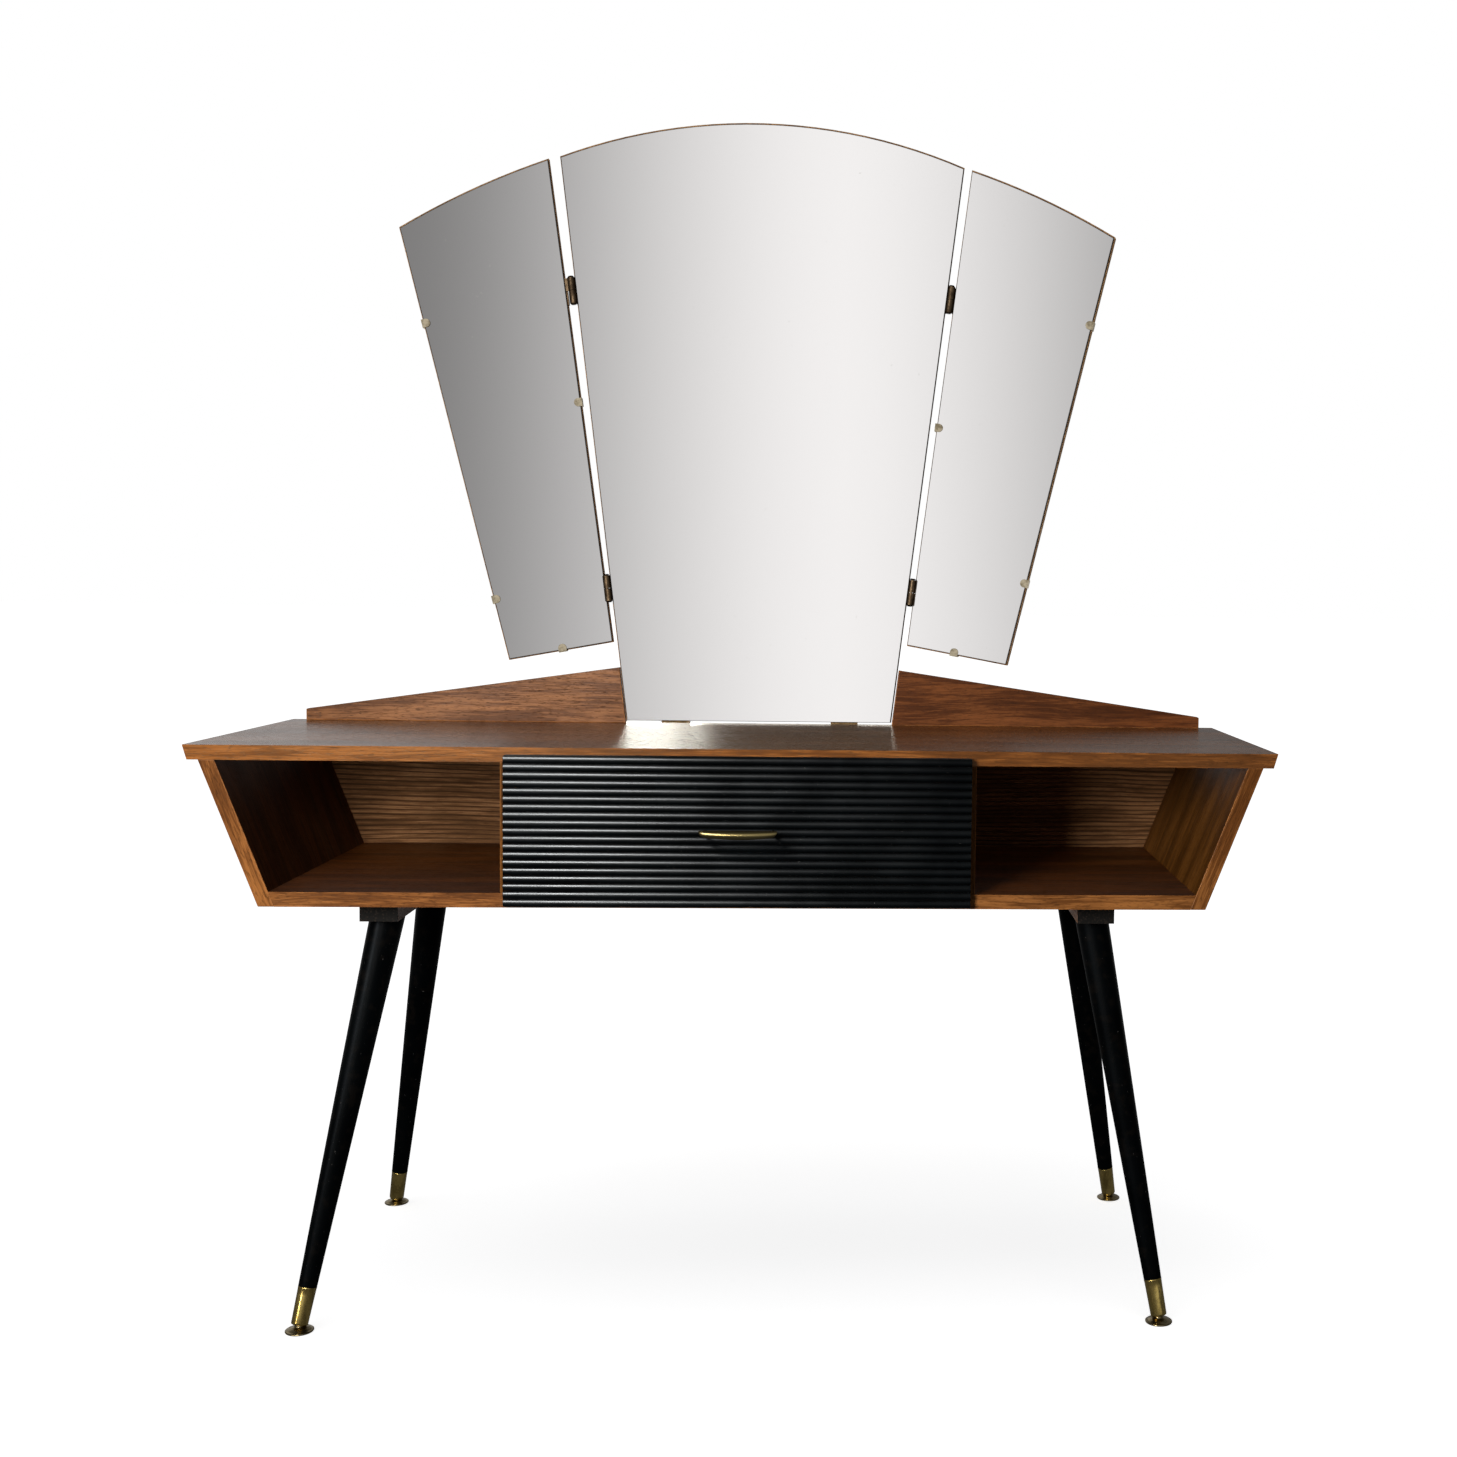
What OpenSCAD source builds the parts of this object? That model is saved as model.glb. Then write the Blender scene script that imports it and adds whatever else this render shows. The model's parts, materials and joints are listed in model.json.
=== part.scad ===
// Dressing table with a three-part mirror. A slant-sided case on four splayed round legs holds a
// ribbed drawer between two open compartments. A fixed centre mirror stands at the back with a
// hinged wing on each side. Millimetres, +Z up, front faces -Y, left and right as seen from the front.

/* [Case] */
// width of the tabletop
top_width = 1250; // [1200:1:1300]
// depth of the tabletop
top_depth = 400; // [380:1:440]
// height of the tabletop above the floor
top_height = 670; // [640:1:720]
// thickness of the tabletop, sides and bottom
board_t = 17; // [15:0.5:20]
// how far each end of the tabletop is bevelled inwards
top_bevel = 5; // [0:0.5:8]
// height of the case from its underside to the tabletop surface
case_height = 184; // [176:1:200]
// half width of the case at its top, outside
case_half_top = 608; // [590:1:615]
// half width of the case at its underside, outside
case_half_bottom = 543; // [530:1:560]
// thickness of the plywood back
back_t = 5; // [4:0.5:8]
// outer face of each partition from the middle
partition_half = 272; // [265:0.5:280]
// thickness of each partition
partition_t = 15; // [12:0.5:18]

/* [Backsplash] */
// thickness of the backsplash boards
splash_t = 15; // [10:0.5:18]
// height of a backsplash beside the mirror
splash_high = 75; // [60:1:90]
// height of a backsplash at its outer end
splash_low = 15; // [10:1:30]
// outer end of each backsplash from the middle
splash_half = 604; // [560:1:615]
// gap between a backsplash and the mirror
splash_gap = 1.2; // [1:0.1:6]

/* [Legs] */
// width of each cleat that carries two legs
cleat_width = 44; // [42:1:60]
// thickness of each cleat
cleat_t = 25; // [20:1:30]
// length of each cleat, front to back
cleat_length = 310; // [290:1:340]
// middle of each cleat from the middle of the case
leg_top_x = 420; // [400:1:440]
// middle of each leg top in front of or behind the middle of the case
leg_top_y = 115; // [100:1:125]
// middle of each foot from the middle of the case
foot_x = 495; // [460:1:510]
// how far each foot stands outside the front or back of the case
foot_out = 15; // [0:1:25]
// radius of a leg under the cleat
leg_top_r = 20; // [18:0.5:21]
// radius of a leg where it meets its ferrule
leg_low_r = 10.4; // [10:0.1:12]
// length of a ferrule
ferrule_length = 42; // [30:1:60]
// radius of a ferrule at its foot
ferrule_low_r = 9.4; // [9.2:0.1:10]
// radius of a glide
glide_r = 16; // [13:0.5:20]

/* [Drawer] */
// half width of the drawer front
front_half = 266; // [262:0.5:270]
// number of ribs on the drawer front
rib_count = 19; // [15:1:21]
// distance between ribs
rib_pitch = 9.1; // [9:0.05:9.3]
// radius of a rib
rib_r = 4.4; // [4.2:0.05:4.48]
// height of the lower edge of the drawer front above the case underside
front_lift = 3; // [0:0.5:6]
// thickness of the drawer front behind the ribs
front_t = 11.1; // [9:0.1:14]
// length of the drawer box
drawer_length = 350; // [320:1:360]
// length of the handle
handle_length = 89; // [80:1:110]
// how far the handle stands out from the ribs
handle_reach = 23; // [20:0.5:30]
// thickest radius of the handle
handle_r = 5.3; // [4.5:0.1:6]
// middle of each handle post from the middle of the handle
post_x = 39; // [34:0.5:40]

/* [Mirror] */
// half width of the centre glass at its lower edge
glass_half_low = 178; // [170:1:190]
// half width of the centre glass at its upper corners
glass_half_high = 268; // [250:1:290]
// height of the lower edge of the centre glass above the tabletop
glass_lift = 3.5; // [2:0.5:10]
// height of the upper corners of the centre glass above its lower edge
glass_side = 748.5; // [700:0.5:800]
// rise of the curved top of the centre glass
glass_rise = 51; // [40:1:70]
// thickness of each glass
glass_t = 4; // [3:0.5:5]
// thickness of the centre backboard
board_centre_t = 12; // [10:0.5:14]
// thickness of each wing backboard
board_wing_t = 10; // [8:0.5:12]
// how far a backboard shows beside its glass
edge_side = 1.2; // [0.5:0.1:1.6]
// how far a backboard shows above its glass
edge_top = 2.5; // [1:0.1:4]
// width of each batten behind the mirror
batten_width = 37; // [30:1:50]
// thickness of each batten
batten_t = 20; // [15:1:22]
// middle of each batten from the middle of the mirror
batten_x = 115; // [90:1:125]

/* [Wings] */
// how far the left wing is swung forward
left_swing = 2; // [0:0.5:20]
// how far the right wing is swung forward
right_swing = 13.5; // [0:0.5:20]
// angle by which the gap beside the left wing opens upwards
left_slack = 0.87; // [0:0.01:1]
// angle by which the gap beside the right wing opens upwards
right_slack = 0.24; // [0:0.01:1]
// lower inner corner of a wing glass, along the hinge line
wing_low_in = 108.6; // [100:0.1:120]
// upper inner corner of a wing glass, along the hinge line
wing_high_in = 752; // [740:0.5:760]
// width of a wing glass at its lower corner
wing_width_low = 138; // [130:0.5:150]
// lower outer corner of a wing glass, along the hinge line
wing_low_out = 101.7; // [95:0.1:110]
// width of a wing glass at its upper corner
wing_width_high = 202.5; // [190:0.5:210]
// upper outer corner of a wing glass, along the hinge line
wing_high_out = 683; // [670:0.5:700]
// radius of the curved top of a wing
wing_top_r = 1050; // [900:10:1300]
// lower hinge, along the hinge line
hinge_low = 180; // [160:1:220]
// upper hinge, along the hinge line
hinge_high = 578; // [540:1:620]
// length of a hinge
hinge_length = 34; // [30:1:40]
// radius of a hinge knuckle
knuckle_r = 5; // [4.5:0.1:5]

/* [Hidden] */
overlay_gap = 0.5;
front_reach = overlay_gap + front_t + rib_r + handle_reach;
back_reach = foot_out + glide_r;
y_front = -top_depth / 2 + (front_reach - back_reach) / 2;
y_back = y_front + top_depth;
y_mid = (y_front + y_back) / 2;
z_under = top_height - case_height;
z_floor = z_under + board_t;
z_ceiling = top_height - board_t;
side_slope = (case_half_top - case_half_bottom) / (z_ceiling - z_under);
side_x = board_t * sqrt(1 + side_slope * side_slope);
y_panel = y_back - back_t;

cleat_z = z_under - cleat_t;
foot_y = top_depth / 2 + foot_out;
foot_z = 8;
leg_span = [foot_x - leg_top_x, foot_y - leg_top_y, cleat_z - foot_z];
leg_length = norm(leg_span);
leg_tilt = acos(leg_span[2] / leg_length);
tenon_r = 9;
tenon_depth = 16;
spigot_r = 8;
ball_r = 3.5;
ferrule_floor = 4;

front_low = z_under + front_lift;
front_high = front_low + rib_count * rib_pitch;
y_face = y_front - overlay_gap - front_t;
box_half = partition_half - partition_t - 4;
box_wall = 12;
box_low = z_floor + 5;
box_high = z_ceiling - 17;
y_box = y_front - overlay_gap;
y_box_back = y_box + drawer_length;
box_floor = box_low + 6;
box_floor_t = 5;
runner_z = (box_low + box_high) / 2;
runner_height = 12;
groove_depth = 6;
handle_z = front_low + rib_count * rib_pitch / 2;
y_handle = y_face - rib_r - handle_reach + handle_r;
post_r = 4;
screw_r = 2;
screw_fit = 0.05;

glass_low = top_height + glass_lift;
lean = atan((glass_half_high - glass_half_low) / glass_side);
glass_arc_r = (glass_half_high * glass_half_high + glass_rise * glass_rise) / (2 * glass_rise);
glass_arc_z = glass_low + glass_side + glass_rise - glass_arc_r;
y_glass = y_back - board_centre_t - glass_t;
batten_low = z_under + 4;
batten_high = top_height + 480;
batten_screw_z = [z_under + board_t / 2, top_height - board_t / 2, top_height + 90, top_height + 440];
batten_screw_depth = 9;

axis_ahead = 4;
axis_side = 4.8;
wing_gap = 3.6;
leaf_t = 1.2;
pin_r = 1.5;
pin_fit = 0.05;
wing_drop = 1.5;
clip_half = 5.5;
clip_t = 1.6;
clips_left = [[556, 0], [183, 0], [66.6, 1], [431, 2]];
clips_right = [[565, 0], [213, 0], [65.6, 1], [406, 2]];
chord = [wing_width_high, wing_high_out - wing_high_in];
chord_mid = [chord[0] / 2, (wing_high_out + wing_high_in) / 2];
chord_down = [chord[1], -chord[0]] / norm(chord);
wing_arc = chord_mid + chord_down * sqrt(pow(wing_top_r, 2) - pow(norm(chord) / 2, 2));
outer_slope = (wing_width_high - wing_width_low) / (wing_high_out - wing_low_out);

round_fn = 64;
wide_fn = 720;
wood = [0.55, 0.33, 0.18];
pale_wood = [0.72, 0.55, 0.36];
black = [0.05, 0.05, 0.06];
brass = [0.62, 0.5, 0.26];
silver = [0.85, 0.87, 0.88];

// Helpers

// a box between two opposite corners
module block(low, high) {
    translate(low) cube(high - low);
}

// an outline in X and Z, carried from one Y to another
module board(outline, y_from, y_to) {
    translate([0, y_to, 0]) rotate([90, 0, 0]) linear_extrude(y_to - y_from) polygon(outline);
}

// a round bar along +Y, with more sides where it cuts a wide curve
module bar_y(at, r, length) {
    translate(at) rotate([-90, 0, 0]) cylinder(r = r, h = length, $fn = r > 100 ? wide_fn : round_fn);
}

// the right-hand shape for side 1, its mirror image for side -1
module on_side(side) {
    mirror([side < 0 ? 1 : 0, 0, 0]) children();
}

// Case

// outer half width of the slanted case at a height
function case_half(z) = case_half_bottom + side_slope * (z - z_under);

module tabletop() {
    half = top_width / 2;
    color(wood) difference() {
        board([
            [-half, top_height], [half, top_height],
            [half - top_bevel, z_ceiling], [-half + top_bevel, z_ceiling]
        ], y_front, y_back);
        batten_screw_bores(screw_r + screw_fit);
    }
}

module side_panel(side) {
    color(wood) on_side(side) board([
        [case_half(z_under) - side_x, z_under], [case_half(z_under), z_under],
        [case_half(z_ceiling), z_ceiling], [case_half(z_ceiling) - side_x, z_ceiling]
    ], y_front, y_panel);
}

module left_side_panel() { side_panel(-1); }
module right_side_panel() { side_panel(1); }

module bottom_panel() {
    low = case_half(z_under) - side_x;
    high = case_half(z_floor) - side_x;
    color(wood) difference() {
        board([[-low, z_under], [low, z_under], [high, z_floor], [-high, z_floor]], y_front, y_panel);
        batten_screw_bores(screw_r + screw_fit);
    }
}

module back_panel() {
    low = case_half(z_under);
    high = case_half(z_ceiling);
    color(wood) difference() {
        board([[-low, z_under], [low, z_under], [high, z_ceiling], [-high, z_ceiling]], y_panel, y_back);
        batten_screw_bores(screw_r + screw_fit);
    }
}

module partition(side) {
    color(wood) on_side(side) block(
        [partition_half - partition_t, y_front, z_floor], [partition_half, y_panel, z_ceiling]
    );
}

module left_partition() { partition(-1); }
module right_partition() { partition(1); }

module backsplash(side) {
    low_in = glass_half_low + edge_side + splash_gap - glass_lift * tan(lean);
    color(wood) on_side(side) board([
        [low_in, top_height], [splash_half, top_height], [splash_half, top_height + splash_low],
        [low_in + splash_high * tan(lean), top_height + splash_high]
    ], y_back - splash_t, y_back);
}

module left_backsplash() { backsplash(-1); }
module right_backsplash() { backsplash(1); }

// Legs

// puts a child on a leg's axis: origin at the foot of the ferrule, +Z up the leg
module on_leg(side, end) {
    turn = atan2(-end * leg_span[1], -side * leg_span[0]);
    translate([side * foot_x, y_mid + end * foot_y, foot_z]) rotate([0, leg_tilt, turn]) children();
}

module leg_cleat(side) {
    color(wood) difference() {
        block(
            [side * leg_top_x - cleat_width / 2, y_mid - cleat_length / 2, cleat_z],
            [side * leg_top_x + cleat_width / 2, y_mid + cleat_length / 2, z_under]
        );
        for (end = [-1, 1])
            leg_dowel(side, end, tenon_r + screw_fit, tenon_depth + 0.5);
    }
}

// the upright dowel on a leg's top, which reaches up into the cleat
module leg_dowel(side, end, r, reach) {
    translate([side * leg_top_x, y_mid + end * leg_top_y, cleat_z - 6])
        cylinder(r = r, h = reach + 6, $fn = round_fn);
}

module left_leg_cleat() { leg_cleat(-1); }
module right_leg_cleat() { leg_cleat(1); }

module leg(side, end) {
    slope = (leg_top_r - leg_low_r) / (leg_length - ferrule_length);
    extra = 12;
    color(black) {
        intersection() {
            on_leg(side, end) translate([0, 0, ferrule_length]) rotate([0, 0, 50]) cylinder(
                r1 = leg_low_r, r2 = leg_top_r + slope * extra,
                h = leg_length - ferrule_length + extra, $fn = round_fn
            );
            block([side * foot_x - 200, -500, -10], [side * foot_x + 200, 500, cleat_z]);
        }
        leg_dowel(side, end, tenon_r, tenon_depth);
        on_leg(side, end) translate([0, 0, ferrule_floor + 0.5])
            cylinder(r = spigot_r, h = ferrule_length, $fn = round_fn);
    }
}

module front_left_leg() { leg(-1, -1); }
module front_right_leg() { leg(1, -1); }
module back_left_leg() { leg(-1, 1); }
module back_right_leg() { leg(1, 1); }

module ferrule(side, end) {
    color(brass) on_leg(side, end) difference() {
        cylinder(r1 = ferrule_low_r, r2 = leg_low_r, h = ferrule_length, $fn = round_fn);
        translate([0, 0, ferrule_floor])
            cylinder(r = spigot_r + screw_fit, h = ferrule_length, $fn = round_fn);
        translate([0, 0, -1]) cylinder(r = ball_r + 0.6, h = ferrule_floor + 2, $fn = round_fn);
    }
}

module front_left_ferrule() { ferrule(-1, -1); }
module front_right_ferrule() { ferrule(1, -1); }
module back_left_ferrule() { ferrule(-1, 1); }
module back_right_ferrule() { ferrule(1, 1); }

module glide(side, end) {
    color(brass) translate([side * foot_x, y_mid + end * foot_y, 0]) {
        cylinder(r = glide_r, h = 2, $fn = round_fn);
        translate([0, 0, 2]) cylinder(r1 = glide_r - 1, r2 = 9, h = 3.2, $fn = round_fn);
        translate([0, 0, 5]) cylinder(r = ball_r + 1, h = foot_z - 6.5, $fn = round_fn);
        translate([0, 0, foot_z + 1]) sphere(r = ball_r, $fn = round_fn);
    }
}

module front_left_glide() { glide(-1, -1); }
module front_right_glide() { glide(1, -1); }
module back_left_glide() { glide(-1, 1); }
module back_right_glide() { glide(1, 1); }

// Drawer

module drawer_runner(side) {
    inner = box_half - groove_depth + 1;
    color(pale_wood) on_side(side) block(
        [inner, y_front + 4, runner_z - runner_height / 2],
        [partition_half - partition_t, y_panel - 4, runner_z + runner_height / 2]
    );
}

module left_drawer_runner() { drawer_runner(-1); }
module right_drawer_runner() { drawer_runner(1); }

module drawer_front() {
    color(black) difference() {
        union() {
            block([-front_half, y_face, front_low], [front_half, y_box, front_high]);
            for (i = [0 : rib_count - 1])
                translate([-front_half, y_face, front_low + (i + 0.5) * rib_pitch])
                    rotate([0, 90, 0]) cylinder(r = rib_r, h = 2 * front_half, $fn = round_fn);
        }
        for (side = [-1, 1]) {
            bar_y([side * post_x, y_face - rib_r - 1, handle_z], post_r + 1, rib_r + 1);
            bar_y([side * post_x, y_face - 1, handle_z], screw_r + 0.4, front_t + 2);
        }
    }
}

module drawer_side(side) {
    color(pale_wood) on_side(side) difference() {
        block([box_half - box_wall, y_box, box_low], [box_half, y_box_back, box_high]);
        block(
            [box_half - groove_depth, y_front + 3, runner_z - runner_height / 2 - 0.5],
            [box_half + 1, y_box_back + 1, runner_z + runner_height / 2 + 0.5]
        );
        block(
            [box_half - box_wall - 1, y_box - 1, box_floor],
            [box_half - box_wall + 5, y_box_back + 1, box_floor + box_floor_t]
        );
    }
}

module drawer_left_side() { drawer_side(-1); }
module drawer_right_side() { drawer_side(1); }

module drawer_back() {
    inner = box_half - box_wall;
    color(pale_wood) block(
        [-inner, y_box_back - box_wall, box_floor + box_floor_t], [inner, y_box_back, box_high]
    );
}

module drawer_bottom() {
    half = box_half - box_wall + 4.8;
    color(pale_wood) block([-half, y_box, box_floor], [half, y_box_back, box_floor + box_floor_t]);
}

module drawer_handle() {
    end = handle_length / 2;
    color(brass) difference() {
        union() {
            translate([0, y_handle, handle_z]) rotate([0, 90, 0]) rotate_extrude($fn = round_fn)
                polygon([
                    [0, -end], [handle_r * 0.42, -end], [handle_r * 0.62, -end + 4],
                    [handle_r * 0.82, -end + 14], [handle_r * 0.96, -end + 28], [handle_r, 0],
                    [handle_r * 0.96, end - 28], [handle_r * 0.82, end - 14],
                    [handle_r * 0.62, end - 4], [handle_r * 0.42, end], [0, end]
                ]);
            for (side = [-1, 1])
                bar_y([side * post_x, y_handle, handle_z], post_r, y_face - y_handle);
        }
        for (side = [-1, 1])
            bar_y([side * post_x, y_face - 9, handle_z], screw_r + screw_fit, 10);
    }
}

module handle_screws() {
    color(brass) for (side = [-1, 1]) {
        bar_y([side * post_x, y_face - 8, handle_z], screw_r, front_t + 8.5);
        bar_y([side * post_x, y_box, handle_z], 4, 2.4);
    }
}

// Mirror

// the centre mirror's outline, grown at its sides and top, from one Y to another
module mirror_sheet(side_grow, top_grow, y_from, y_to) {
    reach = glass_side + glass_rise + 20;
    low = glass_half_low + side_grow;
    high = low + reach * tan(lean);
    intersection() {
        board([
            [-low, glass_low], [low, glass_low], [high, glass_low + reach], [-high, glass_low + reach]
        ], y_from, y_to);
        bar_y([0, y_from - 1, glass_arc_z], glass_arc_r + top_grow, y_to - y_from + 2);
    }
}

module centre_mirror_glass() {
    color(silver) mirror_sheet(0, 0, y_glass, y_glass + glass_t);
}

module centre_mirror_backboard() {
    color(wood) difference() {
        mirror_sheet(edge_side, edge_top, y_glass + glass_t, y_back);
        batten_screw_bores(screw_r + screw_fit);
    }
}

// one screw's length of bore at every batten screw
module batten_screw_bores(r) {
    for (side = [-1, 1], z = batten_screw_z)
        bar_y([side * batten_x, y_back - batten_screw_depth - 1, z], r, batten_screw_depth + batten_t + 2);
}

module mirror_batten(side) {
    color(wood) difference() {
        block(
            [side * batten_x - batten_width / 2, y_back, batten_low],
            [side * batten_x + batten_width / 2, y_back + batten_t, batten_high]
        );
        batten_screw_bores(screw_r + 0.4);
    }
}

module left_mirror_batten() { mirror_batten(-1); }
module right_mirror_batten() { mirror_batten(1); }

module batten_screws() {
    color(brass) for (side = [-1, 1], z = batten_screw_z) {
        bar_y([side * batten_x, y_back - batten_screw_depth, z], screw_r, batten_screw_depth + batten_t);
        bar_y([side * batten_x, y_back + batten_t, z], 4, 2);
    }
}

// Wings

function swing(side) = side < 0 ? left_swing : right_swing;
function slack(side) = side < 0 ? left_slack : right_slack;
function clips(side) = side < 0 ? clips_left : clips_right;

// puts a child on a hinge line: origin level with the glass foot, +X outwards, +Z up the line
module on_axis(side) {
    on_side(side) translate([
        glass_half_low + axis_side * cos(lean), y_glass - axis_ahead, glass_low - axis_side * sin(lean)
    ]) rotate([0, lean, 0]) children();
}

// puts a child on a swung wing: +X from the inner glass edge, +Y back from the glass face
module on_wing(side) {
    on_axis(side) rotate([0, 0, -swing(side)]) translate([wing_gap, axis_ahead, hinge_low])
        rotate([0, slack(side), 0]) translate([0, 0, -hinge_low]) children();
}

// outer edge of a wing glass at a distance along the hinge line
function wing_edge(l) = wing_width_low + outer_slope * (l - wing_low_out);

// a wing's outline, grown at each edge, from one depth behind the glass face to another
module wing_sheet(in_grow, out_grow, top_grow, y_from, y_to) {
    top = wing_high_in + 40;
    intersection() {
        board([
            [-in_grow, wing_low_in - out_grow],
            [wing_edge(wing_low_out - out_grow) + out_grow, wing_low_out - out_grow],
            [wing_edge(top) + out_grow, top], [-in_grow, top]
        ], y_from, y_to);
        bar_y([wing_arc[0], y_from - 1, wing_arc[1]], wing_top_r + top_grow, y_to - y_from + 2);
    }
}

module wing_glass(side) {
    color(silver) on_wing(side) wing_sheet(0, 0, 0, 0, glass_t);
}

module left_wing_glass() { wing_glass(-1); }
module right_wing_glass() { wing_glass(1); }

module wing_backboard(side) {
    color(wood) on_wing(side)
        wing_sheet(edge_side, wing_drop, edge_top, glass_t, glass_t + board_wing_t);
}

module left_wing_backboard() { wing_backboard(-1); }
module right_wing_backboard() { wing_backboard(1); }

// a clip over an edge: +X inwards over the glass, +Y back, edge_grow from glass edge to board edge
module clip(edge_grow) {
    block([-edge_grow - clip_t, -clip_t, -clip_half], [2.5, 0, clip_half]);
    bar_y([2.5, -clip_t, 0], clip_half, clip_t);
    block([-edge_grow - clip_t, -clip_t, -clip_half], [-edge_grow, glass_t + 7, clip_half]);
}

// a place is a distance along an edge and the edge: 0 outer, 1 lower, 2 inner
module place_clip(place) {
    along = place[0];
    if (place[1] == 0)
        translate([wing_edge(along), 0, along]) rotate([0, 180 + atan(outer_slope), 0]) clip(wing_drop);
    if (place[1] == 1)
        translate([along, 0, wing_low_in - (wing_low_in - wing_low_out) * along / wing_width_low])
            rotate([0, -90 + atan((wing_low_in - wing_low_out) / wing_width_low), 0]) clip(wing_drop);
    if (place[1] == 2)
        translate([0, 0, along]) clip(edge_side);
}

module wing_clips(side) {
    color(brass) on_wing(side) for (place = clips(side)) place_clip(place);
}

module left_wing_clips() { wing_clips(-1); }
module right_wing_clips() { wing_clips(1); }

// Hinges: the lower knuckle and the pin stay with the centre mirror, the upper knuckle swings

module hinge_fixed_leaves(side) {
    plate_x = edge_side - axis_side;
    half = hinge_length / 2;
    color(brass) on_axis(side) for (l = [hinge_low, hinge_high]) translate([0, 0, l]) difference() {
        union() {
            translate([0, 0, -half]) cylinder(r = knuckle_r, h = half - 0.2, $fn = round_fn);
            block([plate_x, 0, -half], [plate_x + leaf_t, 8, -0.2]);
            block([plate_x, 7, -half], [plate_x + leaf_t, axis_ahead + glass_t + 10, half]);
        }
        translate([0, 0, -half - 1]) cylinder(r = pin_r + pin_fit, h = half + 2, $fn = round_fn);
    }
}

module left_hinge_fixed_leaves() { hinge_fixed_leaves(-1); }
module right_hinge_fixed_leaves() { hinge_fixed_leaves(1); }

module hinge_moving_leaves(side) {
    half = hinge_length / 2;
    plate = -edge_side - leaf_t;
    color(brass) for (l = [hinge_low, hinge_high]) difference() {
        union() {
            on_axis(side) rotate([0, 0, -swing(side)]) translate([0, 0, l]) {
                translate([0, 0, 0.2]) cylinder(r = knuckle_r, h = half - 0.2, $fn = round_fn);
                block([-1, 2, 0.2],
                    [wing_gap + tan(slack(side)) * (l - hinge_low) - edge_side - 0.4, 4, half]);
            }
            on_wing(side) translate([0, 0, l]) {
                block([plate, 2 - axis_ahead, 0.3], [-edge_side, 4, half - 0.1]);
                block([plate, 3, -half + 0.1], [-edge_side, glass_t + 9, half - 0.1]);
            }
        }
        on_axis(side) translate([0, 0, l - 1]) cylinder(r = pin_r + pin_fit, h = half + 2, $fn = round_fn);
    }
}

module left_hinge_moving_leaves() { hinge_moving_leaves(-1); }
module right_hinge_moving_leaves() { hinge_moving_leaves(1); }

module hinge_pins(side) {
    half = hinge_length / 2;
    color(brass) on_axis(side) for (l = [hinge_low, hinge_high]) translate([0, 0, l]) {
        translate([0, 0, -half]) cylinder(r = pin_r, h = hinge_length, $fn = round_fn);
        translate([0, 0, half + 0.2])
            cylinder(r1 = knuckle_r - 0.4, r2 = knuckle_r - 2, h = 2, $fn = round_fn);
        translate([0, 0, half - 1]) cylinder(r = pin_r, h = 2, $fn = round_fn);
        translate([0, 0, -half - 2])
            cylinder(r1 = knuckle_r - 2, r2 = knuckle_r - 0.4, h = 2, $fn = round_fn);
    }
}

module left_hinge_pins() { hinge_pins(-1); }
module right_hinge_pins() { hinge_pins(1); }

tabletop();
bottom_panel();
left_side_panel();
right_side_panel();
back_panel();
left_partition();
right_partition();
left_backsplash();
right_backsplash();
left_leg_cleat();
right_leg_cleat();
front_left_leg();
front_right_leg();
back_left_leg();
back_right_leg();
front_left_ferrule();
front_right_ferrule();
back_left_ferrule();
back_right_ferrule();
front_left_glide();
front_right_glide();
back_left_glide();
back_right_glide();
left_drawer_runner();
right_drawer_runner();
drawer_front();
drawer_left_side();
drawer_right_side();
drawer_back();
drawer_bottom();
drawer_handle();
handle_screws();
centre_mirror_backboard();
centre_mirror_glass();
left_mirror_batten();
right_mirror_batten();
batten_screws();
left_wing_backboard();
left_wing_glass();
left_wing_clips();
right_wing_backboard();
right_wing_glass();
right_wing_clips();
left_hinge_fixed_leaves();
left_hinge_moving_leaves();
left_hinge_pins();
right_hinge_fixed_leaves();
right_hinge_moving_leaves();
right_hinge_pins();
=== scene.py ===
import json
import math

import bmesh
import bpy
from mathutils import Matrix, Vector

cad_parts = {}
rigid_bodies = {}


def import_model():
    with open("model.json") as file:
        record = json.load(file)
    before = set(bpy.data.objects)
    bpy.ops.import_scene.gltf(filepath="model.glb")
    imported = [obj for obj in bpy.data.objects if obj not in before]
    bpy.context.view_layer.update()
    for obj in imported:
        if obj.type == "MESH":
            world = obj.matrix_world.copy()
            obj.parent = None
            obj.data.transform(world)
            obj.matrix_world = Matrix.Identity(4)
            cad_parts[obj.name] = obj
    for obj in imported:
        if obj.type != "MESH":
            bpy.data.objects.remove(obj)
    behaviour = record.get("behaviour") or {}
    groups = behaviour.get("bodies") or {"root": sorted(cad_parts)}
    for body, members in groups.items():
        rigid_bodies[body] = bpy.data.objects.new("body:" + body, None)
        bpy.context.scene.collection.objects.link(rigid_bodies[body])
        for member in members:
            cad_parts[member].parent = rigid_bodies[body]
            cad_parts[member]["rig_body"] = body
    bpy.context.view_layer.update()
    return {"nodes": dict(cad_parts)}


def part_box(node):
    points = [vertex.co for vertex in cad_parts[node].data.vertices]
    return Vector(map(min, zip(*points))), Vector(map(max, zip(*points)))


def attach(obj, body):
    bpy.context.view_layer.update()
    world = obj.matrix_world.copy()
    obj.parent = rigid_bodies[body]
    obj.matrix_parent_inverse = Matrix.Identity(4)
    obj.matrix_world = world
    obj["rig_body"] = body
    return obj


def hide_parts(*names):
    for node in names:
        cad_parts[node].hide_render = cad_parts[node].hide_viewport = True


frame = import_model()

NODES = frame["nodes"]
SIDES = ("left", "right")
MM = 0.001


# ---------------------------------------------------------------- camera

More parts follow.
